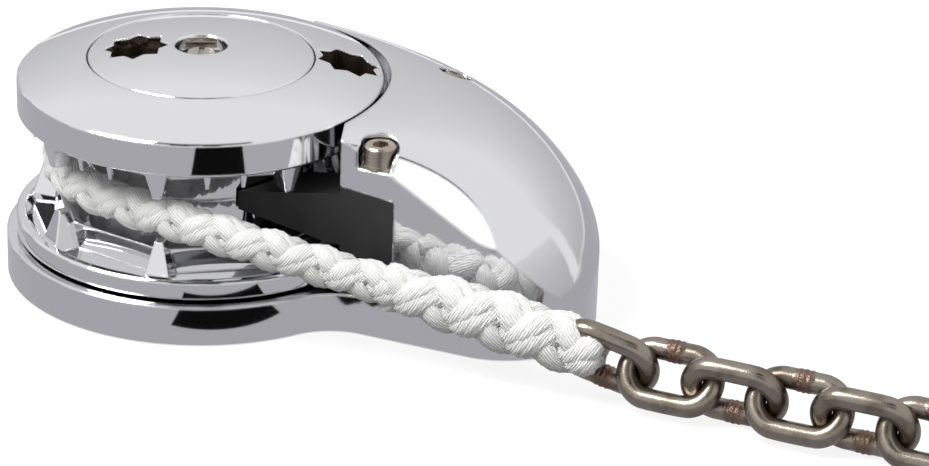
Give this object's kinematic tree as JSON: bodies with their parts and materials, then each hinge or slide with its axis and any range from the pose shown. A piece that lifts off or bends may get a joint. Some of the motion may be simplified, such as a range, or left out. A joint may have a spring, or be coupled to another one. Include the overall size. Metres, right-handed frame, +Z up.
{
  "type": "anchor windlass",
  "caption": "Low vertical anchor windlass: domed deck housing, chromed rope and chain wheel with cone clutch, stripper, pressure arm and a rope spliced to chain.",
  "frame": {"origin": "axis of the main shaft, on the deck plane, at the mouth of the shaft's drive socket", "axes": "+Z up along the shaft's axis, away from the deck; +X to the bow, the way the rode leaves; +Y across the deck to the far side of the hood"},
  "size_m": [0.3934, 0.1462, 0.0889],
  "materials": {
    "chromed_casting": "mirror chrome plate",
    "chromed_wheel": "mirror chrome plate",
    "screw_steel": "warm nickel, satin",
    "shaft_steel": "ground steel",
    "spring_steel": "oiled",
    "cone_bronze": "turned",
    "bearing_bronze": "turned",
    "bearing_plastic": "natural",
    "pipe_plastic": "matt black",
    "stripper_plastic": "matt black",
    "gasket_rubber": "matt",
    "seal_rubber": "matt",
    "rope_fibre": "plaited white nylon",
    "chain_steel": "satin galvanised"
  },
  "bodies": {
    "deck": {"deck_housing": "chromed_casting", "deck_gasket": "gasket_rubber", "shaft_bush": "bearing_bronze", "shaft_seal": "seal_rubber", "thrust_washer": "bearing_plastic", "chain_pipe": "pipe_plastic", "stripper": "stripper_plastic", "stripper_washer": "screw_steel", "stripper_screw": "screw_steel", "arm_pivot_screw": "screw_steel", "arm_bush": "bearing_plastic", "arm_spring": "spring_steel", "rode_rope": "rope_fibre", "rope_splice": "rope_fibre", "chain_link_1": "chain_steel", "chain_link_2": "chain_steel", "chain_link_3": "chain_steel", "chain_link_4": "chain_steel", "chain_link_5": "chain_steel", "chain_link_6": "chain_steel"},
    "arm": {"pressure_arm": "stripper_plastic"},
    "shaft": {"main_shaft": "shaft_steel", "lower_clutch_key": "shaft_steel", "upper_clutch_key": "shaft_steel", "lower_clutch_cone": "cone_bronze", "shaft_circlip": "spring_steel", "centre_screw": "screw_steel"},
    "wheel": {"lower_wheel": "chromed_wheel", "cap_wheel": "chromed_wheel", "wheel_bush": "bearing_plastic", "wheel_screws": "screw_steel"},
    "clutch_cone": {"upper_clutch_cone": "cone_bronze", "disc_springs": "spring_steel", "clutch_washer": "shaft_steel"},
    "clutch_nut": {"clutch_nut": "chromed_wheel"}
  },
  "joints": [
    {"name": "shaft_turn", "type": "hinge", "parent": "deck", "child": "shaft", "pos_m": [0, 0, 0], "axis": [0, 0, 1], "continuous": true},
    {"name": "wheel_turn", "type": "hinge", "parent": "shaft", "child": "wheel", "pos_m": [0, 0, 0.04415], "axis": [0, 0, 1], "continuous": true},
    {"name": "cone_slide", "type": "slide", "parent": "shaft", "child": "clutch_cone", "axis": [0, 0, 1], "range_m": [0, 0.0015]},
    {"name": "nut_turn", "type": "hinge", "parent": "clutch_cone", "child": "clutch_nut", "pos_m": [0, 0, 0.08], "axis": [0, 0, 1], "range_deg": [0, 216]},
    {"name": "arm_swing", "type": "hinge", "parent": "deck", "child": "arm", "pos_m": [0.08, 0.0545, 0.044], "axis": [0, 0, 1], "range_deg": [-4, 0], "stiffness_Nm_per_rad": 0.5, "springref_deg": 11.46}
  ],
  "couplings": [
    {"joint": "nut_turn", "follows": "cone_slide", "rad_per_m": 2513.3}
  ]
}
